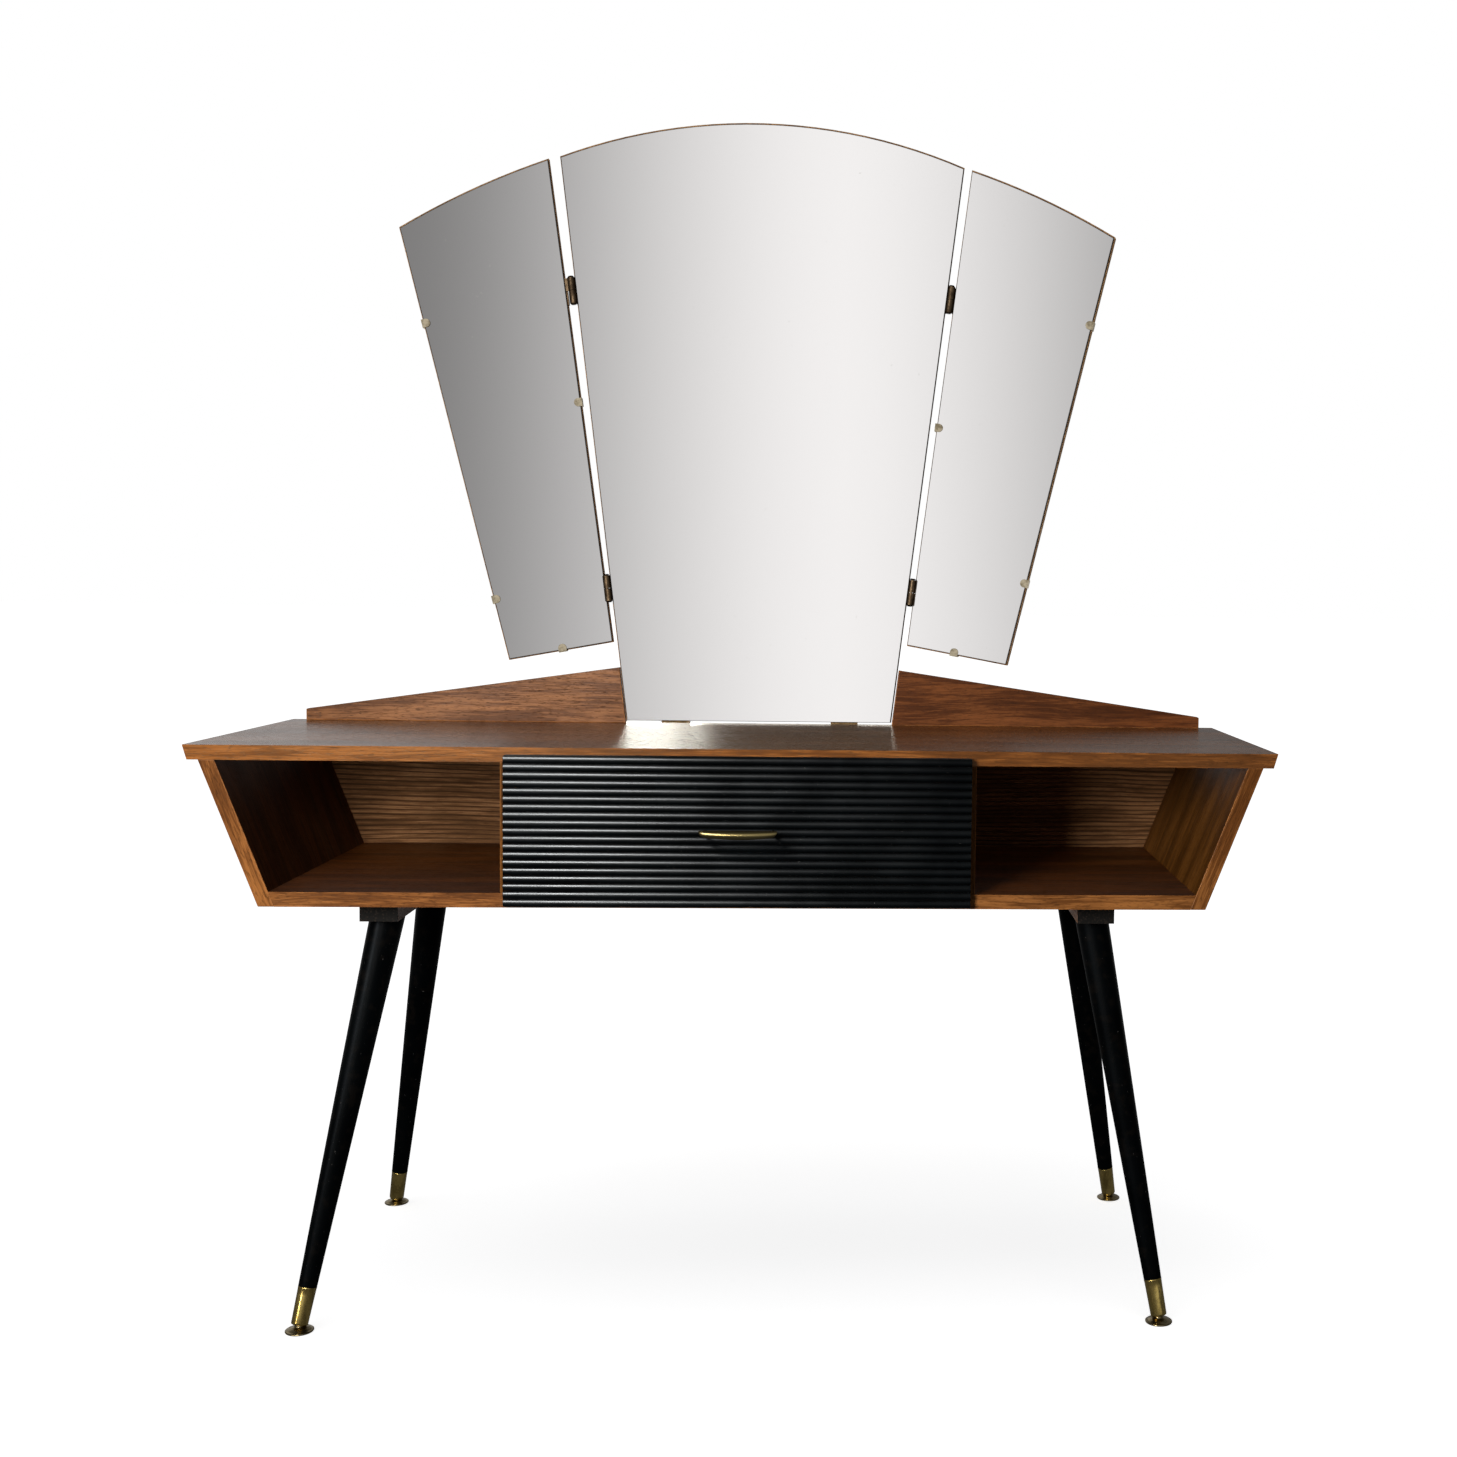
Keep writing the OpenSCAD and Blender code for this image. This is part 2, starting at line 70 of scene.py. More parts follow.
CAMERA_PLACE = (0.1356, -2.2535, 0.8554)
CAMERA_DOWN, CAMERA_TURN, CAMERA_ROLL = 3.267, 3.56, 0.831  # degrees
CAMERA_LENS, CAMERA_SENSOR = 44.22, 36
CAMERA_SHIFT = (-0.1662, -0.0244)


def make_camera():
    down, turn, roll = (math.radians(a) for a in (CAMERA_DOWN, CAMERA_TURN, CAMERA_ROLL))
    ahead = Vector((math.sin(turn) * math.cos(down), math.cos(turn) * math.cos(down), -math.sin(down)))
    right = Vector((math.cos(turn), -math.sin(turn), 0))
    up = right.cross(ahead)
    x_axis = right * math.cos(roll) + up * math.sin(roll)
    y_axis = up * math.cos(roll) - right * math.sin(roll)
    data = bpy.data.cameras.new("camera")
    data.sensor_width = CAMERA_SENSOR
    data.lens = CAMERA_LENS
    data.shift_x, data.shift_y = CAMERA_SHIFT
    camera = bpy.data.objects.new("camera", data)
    bpy.context.scene.collection.objects.link(camera)
    turned = Matrix((x_axis, y_axis, -ahead)).transposed().to_4x4()
    camera.matrix_world = Matrix.Translation(CAMERA_PLACE) @ turned
    bpy.context.scene.camera = camera


# ---------------------------------------------------------------- node building

class Graph:
    """A node tree that is built with short calls. Every call returns an output socket."""

    def __init__(self, tree):
        self.tree = tree

    def add(self, kind, values=None, out=0, **settings):
        node = self.tree.nodes.new("ShaderNode" + kind)
        for name, value in settings.items():
            setattr(node, name, value)
        for key, value in (values or {}).items():
            self.feed(node.inputs[key], value)
        return node.outputs[out]

    def feed(self, socket, value):
        if isinstance(value, bpy.types.NodeSocket):
            self.tree.links.new(value, socket)
        elif socket.type == "RGBA" and len(value) == 3:
            socket.default_value = (*value, 1)
        else:
            socket.default_value = value

    def math(self, operation, a, b=0.0, clamp=False):
        return self.add("Math", {0: a, 1: b}, operation=operation, use_clamp=clamp)

    def remap(self, value, low, high, to_low=0.0, to_high=1.0):
        return self.add("MapRange", {0: value, 1: low, 2: high, 3: to_low, 4: to_high},
                        interpolation_type="SMOOTHSTEP")

    def mix(self, factor, a, b, blend="MIX"):
        return self.add("Mix", {0: factor, 6: a, 7: b}, out=2, data_type="RGBA", blend_type=blend)

    def ramp(self, factor, stops):
        socket = self.add("ValToRGB", {0: factor})
        band = socket.node.color_ramp
        while len(band.elements) < len(stops):
            band.elements.new(0.5)
        for element, (at, colour) in zip(band.elements, stops):
            element.position = at
            element.color = (*colour, 1)
        return socket

    def parts(self, vector):
        return self.add("SeparateXYZ", {0: vector}).node.outputs

    def noise(self, place, scale, detail=2.0, distortion=0.0):
        return self.add("TexNoise", {"Vector": place, "Scale": scale, "Detail": detail,
                                     "Distortion": distortion})

    def shift(self, place, offset):
        return self.add("VectorMath", {0: place, 1: offset}, operation="ADD")

    def stretch(self, place, factors, tilt=0.0):
        """Coordinates turned about Y by tilt degrees, then pulled out by the factors along their axes."""
        turned = (0, math.radians(tilt), 0)
        return self.add("Mapping", {"Vector": place, "Rotation": turned, "Scale": factors},
                        vector_type="TEXTURE")


class Look(Graph):
    """A material with one Principled shader."""

    def __init__(self, name, **fixed):
        self.material = bpy.data.materials.new(name)
        self.material.use_nodes = True
        super().__init__(self.material.node_tree)
        self.shader = self.tree.nodes["Principled BSDF"]
        self.set(**fixed)
        self.place = self.add("TexCoord", out="Object")

    def set(self, **values):
        for key, value in values.items():
            self.feed(self.shader.inputs[key.replace("_", " ")], value)

    def bump(self, height, depth, strength=1.0):
        normal = self.add("Bump", {"Height": height, "Distance": depth, "Strength": strength})
        self.set(Normal=normal)


def shade(colour, factor):
    return tuple(min(1.0, c * factor) for c in colour)


# ---------------------------------------------------------------- materials

def wood(name, grain, tones, seed, facing=(), tilt=0.0, figure=28.0, flecks=0.5, rough=0.42, sheen=0.2,
         lines=0.0, worn=0.0, tint=(1.0, 1.0, 1.0), smears=0.06):
    """Veneer or solid wood. The grain runs along one axis, turned about Y by tilt degrees.

    tones are the dark and the light wood; facing gives other tones to the faces that look along one axis.
    figure is how close the broad bands lie, flecks and lines are how strong the pores and the growth lines
    are, and worn is how far the colour is rubbed towards a pale dry tone on the arrises, partly wear and
    partly a painted highlight along the edges. sheen and tint are the strength and the colour of the gloss,
    and smears is how much its roughness varies.
    """
    look = Look(name, Specular_IOR_Level=sheen, Specular_Tint=tint)
    along = "XYZ".index(grain)
    placed = look.shift(look.place, (seed * 0.37, seed * 0.61, seed * 0.23))

    def pulled(factor):
        long = [1.0, 1.0, 1.0]
        long[along] = factor
        return look.stretch(placed, tuple(long), tilt)

    def even(value):
        return look.add("MapRange", {0: value, 1: 0.35, 2: 0.65})

    sway_by = [0.03, 0.03, 0.03]
    sway_by[along] = 0.0
    sway = look.noise(pulled(3), 7, 2)
    sway = look.add("VectorMath", {0: sway, 1: tuple(sway_by)}, operation="MULTIPLY")
    placed = look.add("VectorMath", {0: sway, 1: placed}, operation="ADD")
    bands = even(look.noise(pulled(9), figure, 3, 0.4))
    fibre = even(look.noise(pulled(26), 700, 2))
    streak = even(look.noise(pulled(16), 210, 2))
    pores = look.remap(look.noise(pulled(8), 980, 1), 0.57, 0.68)
    drift = look.noise(look.place, 2.3 + seed * 0.1, 1)
    tone = look.math("ADD", look.math("MULTIPLY", bands, 0.42), look.math("MULTIPLY", fibre, 0.30))
    tone = look.math("ADD", tone, look.math("MULTIPLY", streak, 0.28))

    def coloured(dark, light):
        return look.ramp(tone, [(0.12, shade(dark, 0.62)), (0.40, dark), (0.62, light),
                                (0.90, shade(light, 1.30))])

    dark, light = tones
    colour = coloured(dark, light)
    for axis, sign, other_tones in facing:
        way = look.math("MULTIPLY", look.parts(look.add("TexCoord", out="Normal"))["XYZ".index(axis)], sign)
        colour = look.mix(look.remap(way, 0.6, 0.8), colour, coloured(*other_tones))
    colour = look.mix(look.remap(drift, 0.35, 0.7, 0, 0.35), colour, (1.0, 0.86, 0.72), "MULTIPLY")
    if lines:
        wave = look.add("TexWave", {"Vector": pulled(40), "Scale": 50, "Distortion": 2.2, "Detail": 2.0,
                                    "Detail Scale": 1.6}, out="Fac", wave_type="BANDS",
                        bands_direction="Y" if grain == "Z" else "Z", wave_profile="SIN")
        dark_line = look.math("MULTIPLY", look.remap(wave, 0.55, 0.95), lines)
        colour = look.mix(dark_line, colour, shade(dark, 0.32))
    colour = look.mix(look.math("MULTIPLY", pores, flecks), colour, shade(dark, 0.30))
    # the pale rub on the arrises is partly wear and partly a painted highlight along the edges
    if worn:
        rub = look.remap(look.noise(look.place, 55, 3), 0.42, 0.62, 0.1, worn)
        colour = look.mix(rub, colour, shade(light, 1.5))
    smear = look.noise(look.place, 11, 3)
    roughness = look.math("ADD", look.remap(smear, 0.3, 0.7, rough - smears, rough + smears),
                          look.math("MULTIPLY", pores, 0.15))
    relief = look.math("SUBTRACT", look.math("MULTIPLY", fibre, 0.4), pores)
    look.set(Base_Color=colour, Roughness=roughness)
    look.bump(relief, 0.00012, 0.5)
    return look


def lacquer(name, colour, rough, spec, rub=0.0):
    """Satin black lacquer with brush marks, dust and dull patches, rubbed brown by rub."""
    look = Look(name, Specular_IOR_Level=spec)
    patches = look.noise(look.place, 16, 3)
    grit = look.noise(look.place, 900, 2)
    strokes = look.noise(look.stretch(look.place, (18, 1, 1)), 420, 2)
    tone = look.mix(look.remap(patches, 0.35, 0.7, 0, 0.6), colour, shade(colour, 1.9))
    dust = look.remap(look.noise(look.place, 330, 1), 0.74, 0.80, 0, 0.25)
    tone = look.mix(dust, tone, (0.16, 0.15, 0.14))
    if rub:
        worn = look.remap(look.noise(look.place, 80, 3), 0.5, 0.68, 0, rub)
        tone = look.mix(worn, tone, (0.09, 0.06, 0.04))
    look.set(Base_Color=tone, Roughness=look.remap(patches, 0.3, 0.75, rough - 0.04, rough + 0.09))
    height = look.math("ADD", look.math("MULTIPLY", grit, 0.3), strokes)
    look.bump(height, 0.00006, 0.5)
    return look


def brass(name, bright, stain, rough, age, drawn=(1, 1, 1)):
    """Aged brass: brown stain in patches pulled out by drawn, fine scratches, duller where it is stained."""
    look = Look(name, Metallic=1.0)
    cloud = look.noise(look.stretch(look.place, drawn), 110, 3)
    speck = look.noise(look.place, 420, 2)
    mask = look.remap(look.math("ADD", look.math("MULTIPLY", cloud, 0.7), look.math("MULTIPLY", speck, 0.3)),
                      0.40, 0.62, 0, age)
    scratch = look.noise(look.stretch(look.place, tuple(5 * d for d in drawn), 4), 1500, 1)
    colour = look.mix(mask, bright, stain)
    look.set(Base_Color=colour, Roughness=look.math("ADD", look.math("MULTIPLY", mask, 0.10), rough))
    look.bump(look.math("ADD", scratch, speck), 0.000008, 0.4)
    return look


# each end of the reflection painted into the silver's colour: from one place across the triptych to another,
# and the tones there
PAINTED_REFLECTION_LEFT = (-0.51, 0.13, 0.205, 0.89)
PAINTED_REFLECTION_RIGHT = (0.09, 0.74, 0.89, 0.19)


def mirror_silver_painted_reflection():
    """Silvered glass with a painted reflection: its tone falls off evenly towards both ends of the triptych.
    """
    look = Look("mirror_silver_painted_reflection", Metallic=1.0)
    across = look.parts(look.place)[0]
    # painted reflection: the silver is brightest in the middle and darker towards both ends
    tone = look.math("MINIMUM", look.remap(across, *PAINTED_REFLECTION_LEFT), look.remap(across, *PAINTED_REFLECTION_RIGHT))
    colour = look.mix(tone, (0.0, 0.0, 0.0), (1.0, 0.978, 0.970))
    haze = look.noise(look.place, 9, 3)
    spots = look.remap(look.noise(look.place, 210, 2), 0.73, 0.80, 0, 0.22)
    colour = look.mix(spots, colour, (0.5, 0.48, 0.44))
    look.set(Base_Color=colour, Roughness=look.remap(haze, 0.3, 0.7, 0.035, 0.075))
    return look


def glass_edge():
    """The ground edge of the mirror glass, grey green with chips."""
    look = Look("glass_edge", Specular_IOR_Level=0.6)
    chips = look.remap(look.noise(look.place, 260, 3), 0.52, 0.66)
    look.set(Base_Color=look.mix(chips, (0.09, 0.11, 0.10), (0.42, 0.46, 0.44)),
             Roughness=look.math("ADD", look.math("MULTIPLY", chips, 0.3), 0.22))
    look.bump(chips, 0.0002)
    return look


def mirror_back():
    """The red-brown paint that protects the silvering."""
    look = Look("mirror_back_paint")
    cloud = look.noise(look.place, 40, 4)
    look.set(Base_Color=look.mix(cloud, (0.12, 0.05, 0.035), (0.2, 0.09, 0.06)),
             Roughness=look.math("ADD", look.math("MULTIPLY", cloud, 0.2), 0.5))
    look.bump(look.noise(look.place, 700, 2), 0.00008)
    return look


def painted_cleat(seed):
    """Light brown wood whose front end is dipped in worn black paint."""
    look = wood("cleat_wood", "Y", CLEAT, seed, rough=0.55, sheen=0.05)
    colour = look.shader.inputs["Base Color"].links[0].from_socket
    ahead = look.math("MULTIPLY", look.parts(look.add("TexCoord", out="Normal"))[1], -1.0)
    paint = look.mix(look.remap(look.noise(look.place, 420, 3), 0.52, 0.68, 0, 0.5), (0.012, 0.011, 0.010),
                     (0.055, 0.040, 0.030))
    look.set(Base_Color=look.mix(look.remap(ahead, 0.5, 0.8), colour, paint))
    return look


# the two tones of each wood, dark and light
TOP = (0.150, 0.056, 0.016), (0.260, 0.100, 0.030)
RAIL = (0.180, 0.058, 0.012), (0.335, 0.118, 0.026)
EDGE = (0.195, 0.068, 0.016), (0.360, 0.138, 0.036)
# painted shade: a dark copy of the case wood for the compartment floors and the partitions' faces
INSIDE_SHADED = (0.060, 0.016, 0.002), (0.130, 0.038, 0.006)
# a darker copy of the case wood; on the right side's inner face and the partitions' front edges it is
# painted shade
SLANT = (0.095, 0.034, 0.005), (0.165, 0.062, 0.011)
# painted shade: a near-black copy of the case wood for the left side's inner face
SHADE = (0.040, 0.011, 0.003), (0.080, 0.024, 0.006)
BACK = (0.200, 0.092, 0.036), (0.350, 0.172, 0.074)
PALE = (0.420, 0.270, 0.140), (0.560, 0.390, 0.220)
BOARD = (0.260, 0.135, 0.055), (0.400, 0.225, 0.100)
BATTEN = (0.520, 0.320, 0.130), (0.680, 0.450, 0.200)
CLEAT = (0.130, 0.055, 0.022), (0.230, 0.105, 0.045)
SPLASH_LEFT = (0.180, 0.066, 0.020), (0.345, 0.145, 0.053)
SPLASH_RIGHT = (0.115, 0.034, 0.009), (0.215, 0.070, 0.020)


def make_materials():
    slant = 21.3  # degrees that the side panels' grain leans with them
    made = {
        "top": wood("top_veneer", "X", RAIL, 1, facing=[("Z", 1, TOP)], figure=22, flecks=0.55, rough=0.24,
                    sheen=0.25, tint=(1.0, 0.72, 0.45), smears=0.02),
        # the arris woods' pale rub is partly wear and partly a painted highlight along the edges
        "top_edge": wood("top_arris", "X", EDGE, 2, flecks=0.4, rough=0.34, worn=0.55),
        # painted shade: the compartment floors, the partitions and the side panels' inner faces get darker
        # copies of the wood
        "case_x": wood("case_veneer", "X", EDGE, 3, facing=[("Z", 1, INSIDE_SHADED)], sheen=0.08),
        "case_left": wood("left_side_veneer", "Z", SLANT, 4, facing=[("Y", -1, EDGE), ("X", 1, SHADE)],
                          tilt=-slant, lines=0.2, sheen=0.05),
        "case_right": wood("right_side_veneer", "Z", EDGE, 5, facing=[("Y", -1, EDGE), ("X", -1, SLANT)],
                           tilt=slant, lines=0.2, sheen=0.06),
        "case_z": wood("partition_veneer", "Z", INSIDE_SHADED, 6, facing=[("Y", -1, SLANT)], sheen=0.05),
        "case_edge": wood("case_arris", "X", EDGE, 7, flecks=0.4, worn=0.6),
        "back": wood("back_veneer", "X", BACK, 8, figure=40, flecks=0.3, rough=0.6, lines=0.85, sheen=0.05),
        "splash_left": wood("left_splash_veneer", "X", SPLASH_LEFT, 9, figure=45, flecks=0.7, rough=0.34,
                            sheen=0.12),
        "splash_right": wood("right_splash_veneer", "X", SPLASH_RIGHT, 10, figure=30, flecks=0.45,
                             rough=0.34, sheen=0.1),
        "splash_edge": wood("splash_arris", "X", EDGE, 11, flecks=0.4, worn=0.7),
        "pale_x": wood("pale_wood_across", "X", PALE, 12, flecks=0.25, rough=0.6),
        "pale_y": wood("pale_wood_along", "Y", PALE, 13, flecks=0.25, rough=0.6),
        "board": wood("backing_board", "Z", BOARD, 14, facing=[("Z", 1, BATTEN)], flecks=0.35, rough=0.62),
        "batten": wood("batten_wood", "Z", BATTEN, 15, flecks=0.4, rough=0.6),
        "cleat": painted_cleat(16),
        "front": lacquer("black_front_lacquer", (0.0008, 0.0014, 0.0018), 0.37, spec=0.035),
        "front_edge": lacquer("black_front_rubbed", (0.004, 0.004, 0.005), 0.36, rub=0.3, spec=0.035),
        "leg": lacquer("black_leg_lacquer", (0.0006, 0.0009, 0.0011), 0.36, rub=0.03, spec=0.011),
        "ferrule": brass("ferrule_brass", (0.46, 0.34, 0.11), (0.13, 0.09, 0.025), 0.19, 0.7, (1, 1, 14)),
        "glide": brass("glide_brass", (0.30, 0.24, 0.13), (0.10, 0.08, 0.04), 0.22, 0.7),
        "handle": brass("handle_brass", (0.150, 0.118, 0.050), (0.080, 0.062, 0.028), 0.20, 0.7, (5, 1, 1)),
        "hinge": brass("hinge_brass", (0.085, 0.058, 0.034), (0.028, 0.018, 0.011), 0.42, 0.8),
        "clip": brass("clip_brass", (0.56, 0.48, 0.34), (0.26, 0.21, 0.13), 0.40, 0.8),
        "screw": brass("screw_brass", (0.45, 0.38, 0.24), (0.14, 0.12, 0.08), 0.35, 0.7),
        "mirror": mirror_silver_painted_reflection(),
        "glass_edge": glass_edge(),
        "glass_back": mirror_back(),
    }
    return {name: look.material for name, look in made.items()}


# ---------------------------------------------------------------- finishing the CAD nodes

ARRIS_ANGLE = math.radians(35)


def finish_node(name, face, arris, width, segments=3):
    """A CAD node keeps its mesh, gets its material, and has its arrises softened in the second material."""
    node = NODES[name]
    node.data.materials.clear()
    node.data.materials.append(MATERIALS[face])
    if arris:
        node.data.materials.append(MATERIALS[arris])
    weld = node.modifiers.new("weld", "WELD")
    weld.merge_threshold = 0.00001
    soften = node.modifiers.new("soften", "BEVEL")
    soften.width = width * MM
    soften.segments = segments
    soften.limit_method = "ANGLE"
    soften.angle_limit = ARRIS_ANGLE
    soften.material = 1 if arris else -1
    smooth = node.modifiers.new("smooth", "WEIGHTED_NORMAL")
    smooth.keep_sharp = True


def finish_case():
    finish_node("tabletop", "top", "top_edge", 1.2)
    finish_node("bottom_panel", "case_x", "case_edge", 0.8)
    finish_node("left_side_panel", "case_left", "case_edge", 0.8)
    finish_node("right_side_panel", "case_right", "case_edge", 0.8)
    finish_node("back_panel", "back", None, 0.4)
    for side in SIDES:
        finish_node(f"{side}_partition", "case_z", "case_edge", 0.6)
        finish_node(f"{side}_backsplash", f"splash_{side}", "splash_edge", 1.0)
        finish_node(f"{side}_leg_cleat", "cleat", None, 1.2)
        finish_node(f"{side}_drawer_runner", "pale_y", None, 0.6)
        finish_node(f"drawer_{side}_side", "pale_y", None, 0.6)
        finish_node(f"{side}_mirror_batten", "batten", None, 0.3, segments=2)
    finish_node("drawer_back", "pale_x", None, 0.6)
    finish_node("drawer_bottom", "pale_x", None, 0.4)


def finish_mirror_boards():
    finish_node("centre_mirror_backboard", "board", None, 0.5)
    for side in SIDES:
        finish_node(f"{side}_wing_backboard", "board", None, 0.5)


def finish_metal():
    for side in SIDES:
        finish_node(f"{side}_wing_clips", "clip", None, 0.5)
        finish_node(f"{side}_hinge_fixed_leaves", "hinge", None, 0.25)
        finish_node(f"{side}_hinge_moving_leaves", "hinge", None, 0.25)
        finish_node(f"{side}_hinge_pins", "hinge", None, 0.15)
    finish_node("handle_screws", "screw", None, 0.15)
    finish_node("batten_screws", "screw", None, 0.25)


# ---------------------------------------------------------------- own pieces

def body_named(node):
    return NODES[node]["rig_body"]


def put(name, mesh, materials, node):
    """Makes a piece that stands for a CAD node: the node is hidden and the piece rides on its body."""
    for material in materials:
        mesh.materials.append(MATERIALS[material])
    piece = bpy.data.objects.new(name, mesh)
    bpy.context.scene.collection.objects.link(piece)
    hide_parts(node)
    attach(piece, body_named(node))
    return piece


def lathe(bm, base, axis, profile, steps):
    """Turns a profile of (radius, height) pairs about an axis and closes both ends."""
    axis = axis.normalized()
    side = axis.orthogonal().normalized()
    other = axis.cross(side)
    rings = []
    for radius, height in profile:
        ring = []
        for i in range(steps):
            turn = 2 * math.pi * i / steps
            out = side * math.cos(turn) + other * math.sin(turn)
            ring.append(bm.verts.new(base + axis * height + out * radius))
        rings.append(ring)
    for low, high in zip(rings, rings[1:]):
        for i in range(steps):
            j = (i + 1) % steps
            bm.faces.new((low[i], low[j], high[j], high[i]))
    bm.faces.new(list(reversed(rings[0])))
    bm.faces.new(rings[-1])


def closed_mesh(name, bm, sharp):
    """The mesh, with edges sharper than this many degrees left sharp."""
    bmesh.ops.recalc_face_normals(bm, faces=bm.faces)
    mesh = bpy.data.meshes.new(name)
    bm.to_mesh(mesh)
    bm.free()
    mesh.shade_smooth()
    mesh.set_sharp_from_angle(angle=math.radians(sharp))
    return mesh


RIB_COUNT = 19
RIB_STEPS = 14
END_STEPS = ((0.0, 1.0), (0.3, 0.3), (1.0, 0.0))  # how far in from the end, and how far drawn in there


def make_drawer_front():
    """The front board with its half-round ribs, one closed mesh with softened ends."""
    low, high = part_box("drawer_front")
    pitch = (high.z - low.z) / RIB_COUNT
    radius = pitch * 0.484
    y_valley = low.y + radius
    end_round = 0.5 * MM

    def outline(shrink):
        points = [(high.y, low.z + shrink), (y_valley, low.z + shrink)]
        for rib in range(RIB_COUNT):
            z_mid = low.z + pitch * (rib + 0.5)
            for i in range(RIB_STEPS + 1):
                turn = math.pi * (i / RIB_STEPS - 0.5)
                points.append((y_valley - (radius - shrink) * math.cos(turn),
                               z_mid + (radius - shrink) * math.sin(turn)))
        return points + [(y_valley, high.z - shrink), (high.y, high.z - shrink)]

    slices = [(low.x + end_round * inset, end_round * shrink) for inset, shrink in END_STEPS]
    slices += [(high.x - end_round * inset, end_round * shrink) for inset, shrink in reversed(END_STEPS)]
    bm = bmesh.new()
    rows = [[bm.verts.new((x, y, z)) for y, z in outline(shrink)] for x, shrink in slices]
    count = len(rows[0])
    for k, (near, far) in enumerate(zip(rows, rows[1:])):
        for i in range(count):
            j = (i + 1) % count
            face = bm.faces.new((near[i], near[j], far[j], far[i]))
            face.material_index = 0 if k == 2 else 1
    bm.faces.new(rows[0])
    bm.faces.new(rows[-1])
    bmesh.ops.triangulate(bm, faces=[f for f in bm.faces if len(f.verts) > 4])
    mesh = closed_mesh("ribbed_front", bm, 50)
    return put("ribbed_front", mesh, ["front", "front_edge"], "drawer_front")


def make_handle():
    """The boat-shaped pull: a nearly straight upper edge, a bowed lower edge, rounded ends and two posts."""
    low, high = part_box("drawer_handle")
    half = (high.x - low.x) / 2
    mid_x, y_axis = (low.x + high.x) / 2, low.y + (high.z - low.z) / 2
    full = (high.z - low.z) / 2
    rings, steps, ring_count = [], 28, 40
    bm = bmesh.new()
    for k in range(1, ring_count):
        t = -math.cos(math.pi * k / ring_count)
        end = (1 - abs(t) ** 18) ** 0.5
        reach = full * (1 - 0.30 * abs(t) ** 2.0) * end
        depth = full * (1 - 0.50 * abs(t) ** 2.0) * end
        z_mid = high.z - reach - full * 0.06 * abs(t) ** 3
        ring = []
        for i in range(steps):
            turn = 2 * math.pi * i / steps
            place = (mid_x + half * t, y_axis - depth * math.cos(turn), z_mid + reach * math.sin(turn))
            ring.append(bm.verts.new(place))
        rings.append(ring)
    for near, far in zip(rings, rings[1:]):
        for i in range(steps):
            j = (i + 1) % steps
            bm.faces.new((near[i], near[j], far[j], far[i]))
    for ring, x in ((rings[0], low.x), (rings[-1], high.x)):
        z_tip = sum(v.co.z for v in ring) / steps
        tip = bm.verts.new((x, y_axis, z_tip))
        for i in range(steps):
            bm.faces.new((ring[i], ring[(i + 1) % steps], tip))
    post_x, post_r = half * 0.876, 2.7 * MM
    z_post = high.z - full * 0.84
    span = high.y - y_axis
    profile = [(post_r * 1.25, 0), (post_r * 1.2, 0.8 * MM), (post_r * 0.92, 2.6 * MM),
               (post_r * 0.85, span * 0.55), (post_r * 0.9, span * 0.95)]
    for side in (-1, 1):
        lathe(bm, Vector((mid_x + side * post_x, high.y, z_post)), Vector((0, -1, 0)), profile, 32)
    mesh = closed_mesh("boat_handle", bm, 50)
    return put("boat_handle", mesh, ["handle"], "drawer_handle")


LEG_TOP_OUT = 0.115  # how far the leg tops stand in front of and behind the middle of the tabletop


def leg_line(end, side):
    """Foot point and direction of a leg, from the places of its glide, its cleat and the case."""
    glide_low, glide_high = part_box(f"{end}_{side}_glide")
    cleat_low, cleat_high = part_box(f"{side}_leg_cleat")
    top_low, top_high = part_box("tabletop")
    y_mid = (top_low.y + top_high.y) / 2
    y_top = y_mid + (LEG_TOP_OUT if end == "back" else -LEG_TOP_OUT)
    top = Vector(((cleat_low.x + cleat_high.x) / 2, y_top, cleat_low.z))
    foot = Vector(((glide_low.x + glide_high.x) / 2, (glide_low.y + glide_high.y) / 2, 8 * MM))
    return foot, top


def make_ferrule(end, side):
    foot, top = leg_line(end, side)
    axis = (top - foot).normalized()
    profile = [(r * MM, h * MM) for r, h in (
        (8.2, -0.4), (9.0, 0.0), (9.4, 0.9), (9.45, 2.0), (9.55, 8), (9.8, 20), (10.1, 33), (10.3, 40.2),
        (10.5, 40.9), (10.55, 41.3), (10.5, 41.8), (10.2, 42.3))]
    bm = bmesh.new()
    lathe(bm, foot, axis, profile, 56)
    mesh = closed_mesh(f"{end}_{side}_cap", bm, 60)
    return put(f"{end}_{side}_cap", mesh, ["ferrule"], f"{end}_{side}_ferrule")


def make_glide(end, side):
    """A domed foot disc with a rolled rim, and the short neck that goes up into the cap."""
    low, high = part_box(f"{end}_{side}_glide")
    centre = Vector(((low.x + high.x) / 2, (low.y + high.y) / 2, low.z))
    profile = [(r * MM, h * MM) for r, h in (
        (14.6, 0.0), (15.5, 0.25), (15.95, 0.9), (15.9, 1.6), (15.3, 2.1), (14.3, 2.25), (13.4, 2.35),
        (12.2, 3.0), (10.4, 3.9), (8.4, 4.7), (6.6, 5.3), (5.4, 6.0), (5.0, 7.0), (5.0, 9.0))]
    bm = bmesh.new()
    lathe(bm, centre, Vector((0, 0, 1)), profile, 56)
    mesh = closed_mesh(f"{end}_{side}_foot_disc", bm, 60)
    return put(f"{end}_{side}_foot_disc", mesh, ["glide"], f"{end}_{side}_glide")


GLASS_BEVEL = 0.7 * MM


